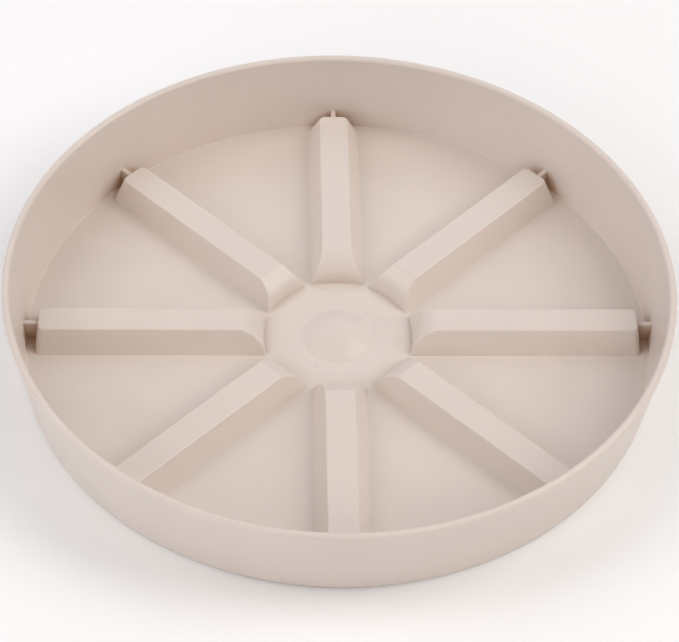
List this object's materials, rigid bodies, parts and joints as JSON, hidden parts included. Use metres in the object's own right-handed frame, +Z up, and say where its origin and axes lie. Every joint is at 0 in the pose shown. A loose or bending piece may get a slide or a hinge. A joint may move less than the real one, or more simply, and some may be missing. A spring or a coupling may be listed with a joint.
{
  "type": "plant pot saucer",
  "caption": "Round plant pot saucer, a shallow dish with a leaning wall, raised hollow ribs that run from a low domed hub towards the wall, and thin webs at the ribs' ends.",
  "frame": {"origin": "centre of the base, on the plane that the foot ring rests on", "axes": "+Z up, out of the dish; +X along the middle of one rib"},
  "size_m": [0.153, 0.153, 0.022],
  "materials": {
    "saucer_plastic": "beige polypropylene, injection moulded, fine satin texture"
  },
  "bodies": {
    "root": {"saucer": "saucer_plastic"}
  },
  "joints": []
}
